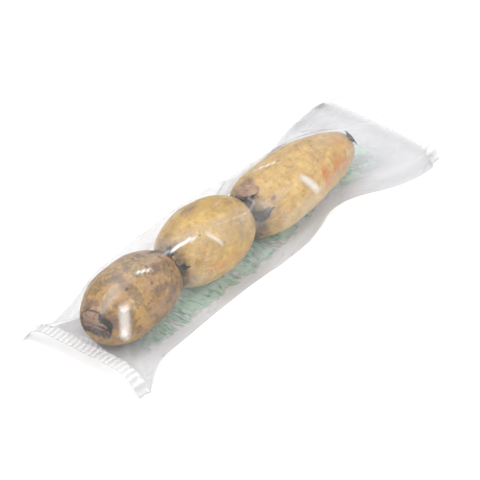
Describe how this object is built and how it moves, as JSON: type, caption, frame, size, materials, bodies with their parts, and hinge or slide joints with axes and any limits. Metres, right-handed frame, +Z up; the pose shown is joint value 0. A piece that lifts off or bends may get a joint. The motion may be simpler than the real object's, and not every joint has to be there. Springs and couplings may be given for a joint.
{
  "type": "bagged lotus root",
  "caption": "Lotus root of joined plump internodes with cut stub ends, sealed in a flat clear film bag with a green printed back.",
  "frame": {"origin": "middle of the bag's outline on the surface that it lies on", "axes": "+X along the bag, from the end where the rhizome's stub meets the seal to the end with the long empty flap; +Y across the bag; +Z up, out of the surface"},
  "size_m": [0.406, 0.1302, 0.0695],
  "materials": {
    "rhizome_skin": "smooth waxy peel, ochre to pale gold, with rust stains, grey bruises and dark specks; brown fibrous cut stubs",
    "clear_film": "thin clear glossy film with soft creases and ribbed heat seals",
    "printed_film": "thin glossy film printed with a loose mint green leafy pattern, with clear margins"
  },
  "bodies": {
    "root": {"rhizome": "rhizome_skin", "front_film": "clear_film", "back_film": "printed_film"}
  },
  "joints": []
}
